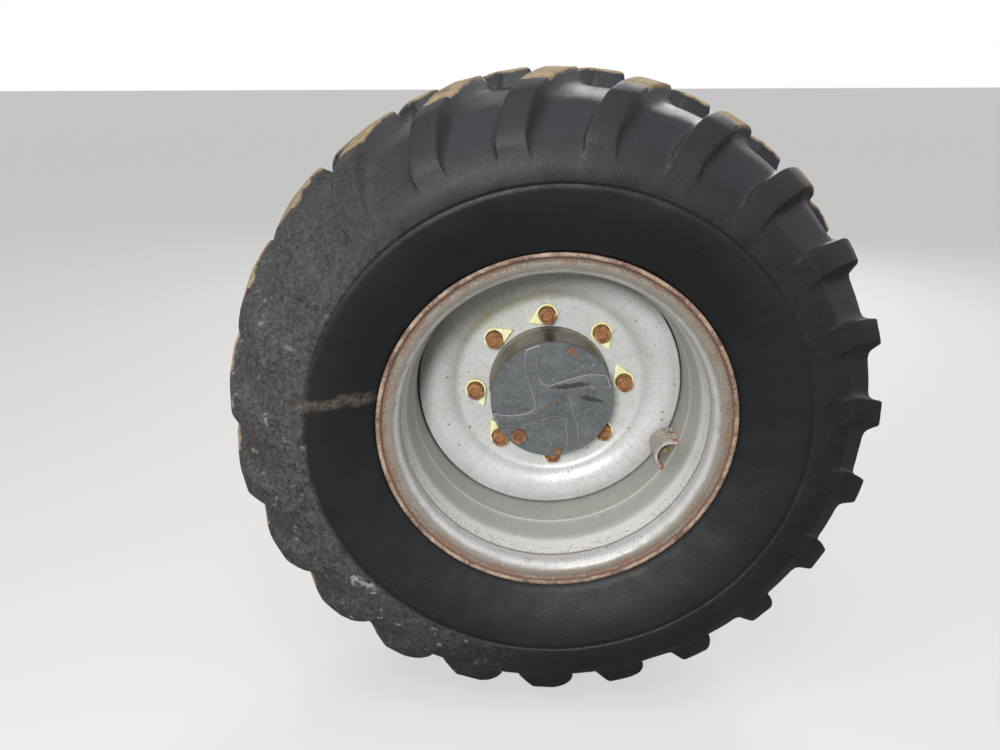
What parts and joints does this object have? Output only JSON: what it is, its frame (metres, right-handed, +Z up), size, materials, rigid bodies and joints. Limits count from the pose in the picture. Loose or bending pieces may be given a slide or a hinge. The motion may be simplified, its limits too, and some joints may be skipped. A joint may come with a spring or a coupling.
{
  "type": "site dumper front wheel with hub and stub axle",
  "caption": "Front wheel of a site dumper: lugged tyre on a dished steel wheel, bolted to a hub with a round cover that turns on a flanged stub axle.",
  "frame": {"origin": "centre of the stub axle's inboard flange face", "axes": "-Y out of the wheel along its axle, +Y towards the machine, +X forward, +Z up"},
  "size_m": [1.0748, 0.4445, 1.075],
  "materials": {
    "axle_paint": "satin",
    "cover_paint": "matt",
    "seal_rubber": "matt",
    "wheel_paint": "satin",
    "guard_steel": "worn",
    "valve_brass": "satin",
    "tyre_rubber": "matt",
    "indicator_plastic": "matt",
    "rusty_steel": "rusty"
  },
  "bodies": {
    "axle_end": {"stub_axle": "axle_paint"},
    "wheel": {"cover_screw_1": "rusty_steel", "cover_screw_2": "rusty_steel", "hub_cover": "cover_paint", "hub_drum": "axle_paint", "nut_indicator_1": "indicator_plastic", "nut_indicator_2": "indicator_plastic", "nut_indicator_3": "indicator_plastic", "nut_indicator_4": "indicator_plastic", "nut_indicator_5": "indicator_plastic", "nut_indicator_6": "indicator_plastic", "nut_indicator_7": "indicator_plastic", "nut_indicator_8": "indicator_plastic", "oil_plug": "rusty_steel", "shaft_seal": "seal_rubber", "tyre": "tyre_rubber", "valve_guard": "guard_steel", "valve_stem": "valve_brass", "wheel_disc": "wheel_paint", "wheel_nut_1": "rusty_steel", "wheel_nut_2": "rusty_steel", "wheel_nut_3": "rusty_steel", "wheel_nut_4": "rusty_steel", "wheel_nut_5": "rusty_steel", "wheel_nut_6": "rusty_steel", "wheel_nut_7": "rusty_steel", "wheel_nut_8": "rusty_steel", "wheel_rim": "wheel_paint", "wheel_stud_1": "rusty_steel", "wheel_stud_2": "rusty_steel", "wheel_stud_3": "rusty_steel", "wheel_stud_4": "rusty_steel", "wheel_stud_5": "rusty_steel", "wheel_stud_6": "rusty_steel", "wheel_stud_7": "rusty_steel", "wheel_stud_8": "rusty_steel"}
  },
  "joints": [
    {"name": "wheel_spin", "type": "hinge", "parent": "axle_end", "child": "wheel", "pos_m": [0, -0.242, 0], "axis": [0, -1, 0], "continuous": true}
  ]
}
